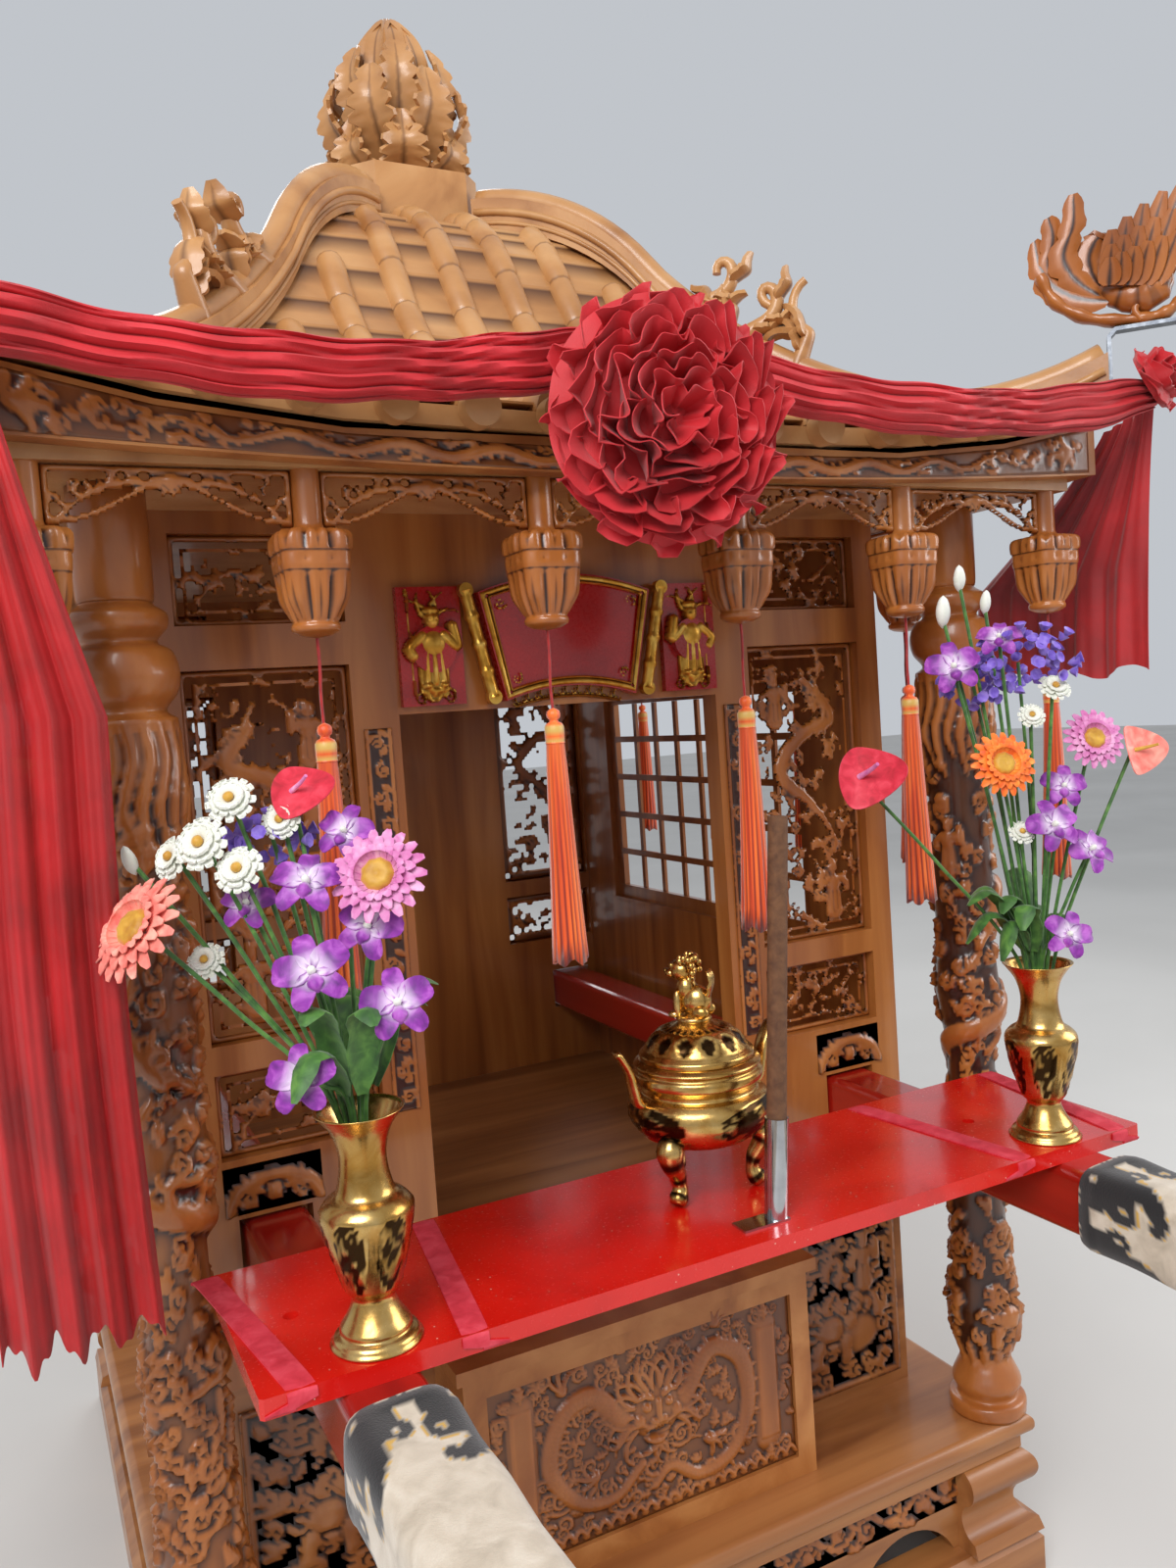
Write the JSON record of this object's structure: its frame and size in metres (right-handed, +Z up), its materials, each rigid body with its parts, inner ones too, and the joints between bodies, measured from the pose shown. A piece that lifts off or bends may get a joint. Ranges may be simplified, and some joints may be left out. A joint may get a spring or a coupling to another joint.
{
  "type": "carried temple palanquin",
  "caption": "Carved wooden palanquin with dragon columns, tiled roof, red poles and an offering board with brass burner and vases.",
  "frame": {"origin": "on the ground under the middle of the base", "axes": "+X to the viewer's right when facing the front, -Y towards the front, +Z up"},
  "size_m": [1.8756, 3.9, 2.9085],
  "materials": {
    "varnished_wood": "gloss varnish",
    "dark_wood": "gloss varnish",
    "red_lacquer": "gloss lacquer",
    "red_organza": "sheer",
    "orange_silk": "silky",
    "red_cord": "matt",
    "strap_webbing": "woven",
    "white_cotton": "woven",
    "brass": "polished",
    "chrome": "polished",
    "spring_steel": "satin",
    "incense": "matt",
    "gold_on_red": "gloss",
    "flowers": "matt"
  },
  "bodies": {
    "palanquin": {"barrel_tiles": "varnished_wood", "base_aprons": "varnished_wood", "base_deck": "varnished_wood", "board_straps": "strap_webbing", "bouquets": "flowers", "burner_bowl": "brass", "cabin_floor": "red_lacquer", "cabriole_legs": "varnished_wood", "carrying_poles": "red_lacquer", "ceiling_plate": "varnished_wood", "corner_arms": "spring_steel", "corner_drapes": "red_organza", "dragon_column_front_left": "varnished_wood", "dragon_column_front_right": "varnished_wood", "dragon_column_rear_left": "varnished_wood", "dragon_column_rear_right": "varnished_wood", "dragon_panel_block": "varnished_wood", "eave_swag": "red_organza", "fascia_boards": "varnished_wood", "flame_finial": "varnished_wood", "front_screens": "dark_wood", "front_wall_frame": "varnished_wood", "hip_ridges": "varnished_wood", "hip_scrolls": "varnished_wood", "incense_holder": "chrome", "incense_stick": "incense", "lantern_posts_ends": "varnished_wood", "lantern_posts_sides": "varnished_wood", "offering_board": "red_lacquer", "pedestal_walls": "varnished_wood", "phoenixes": "varnished_wood", "plaque": "gold_on_red", "plaque_side_boards": "gold_on_red", "plinth_frame": "varnished_wood", "pole_covers": "white_cotton", "rear_screens": "dark_wood", "rear_wall_frame": "varnished_wood", "roof_platform": "varnished_wood", "roof_shell": "varnished_wood", "rosette": "red_organza", "side_lattices": "dark_wood", "side_wall_left": "varnished_wood", "side_wall_right": "varnished_wood", "spandrel_boards": "varnished_wood", "tassel_cords": "red_cord", "tassels": "orange_silk", "tile_end_knobs": "varnished_wood", "vases": "brass"},
    "burner_lid": {"burner_lid": "brass"}
  },
  "joints": [
    {"name": "burner_lid_lift", "type": "slide", "parent": "palanquin", "child": "burner_lid", "axis": [0, 0, 1], "range_m": [0, 0.2]}
  ]
}
